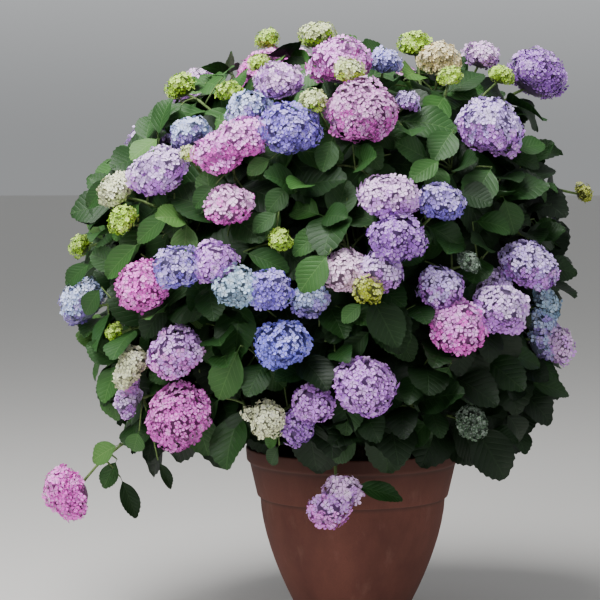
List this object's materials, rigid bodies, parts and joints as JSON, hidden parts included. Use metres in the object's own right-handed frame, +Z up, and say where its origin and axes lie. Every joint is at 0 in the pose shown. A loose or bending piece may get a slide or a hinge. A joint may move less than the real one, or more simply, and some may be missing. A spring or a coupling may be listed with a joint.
{
  "type": "potted hydrangea shrub",
  "caption": "Mophead hydrangea shrub in full flower in a round tapered terracotta pot with a collared rim, standing free on the pot's flat underside.",
  "frame": {"origin": "middle of the pot's flat underside", "axes": "+Z up through the pot, -Y towards the side that the picture shows, +X to its right"},
  "size_m": [1.2613, 1.0718, 1.4197],
  "materials": {
    "terracotta": "matte unglazed terracotta, weathered a little",
    "compost": "matte moist potting compost",
    "bark": "matte flaking bark, green on the young shoots",
    "foliage": "satin mid to dark green leaves",
    "blossom": "soft matte petals in lilac, blue, pink and lime"
  },
  "bodies": {
    "root": {"pot": "terracotta", "compost": "compost", "stool": "bark", "cane_trailing_left": "bark", "cane_skirt_left": "bark", "cane_side_left": "bark", "cane_shoulder_left": "bark", "cane_top_left": "bark", "cane_top_middle": "bark", "cane_top_right": "bark", "cane_middle": "bark", "cane_side_right": "bark", "cane_front_low": "bark", "cane_over_rim": "bark", "cane_low_right": "bark", "cane_far_right": "bark", "cane_far_right_low": "bark", "cane_back_right": "bark", "cane_back_low": "bark", "cane_back_middle": "bark", "cane_back_top": "bark", "cane_back_left_low": "bark", "cane_back_left": "bark", "cane_back_left_top": "bark", "foliage_trailing_left": "foliage", "foliage_skirt_left": "foliage", "foliage_side_left": "foliage", "foliage_shoulder_left": "foliage", "foliage_top_left": "foliage", "foliage_top_middle": "foliage", "foliage_top_right": "foliage", "foliage_middle": "foliage", "foliage_side_right": "foliage", "foliage_front_low": "foliage", "foliage_over_rim": "foliage", "foliage_low_right": "foliage", "foliage_far_right": "foliage", "foliage_far_right_low": "foliage", "foliage_back_right": "foliage", "foliage_back_low": "foliage", "foliage_back_middle": "foliage", "foliage_back_top": "foliage", "foliage_back_left_low": "foliage", "foliage_back_left": "foliage", "foliage_back_left_top": "foliage"}
  },
  "joints": []
}
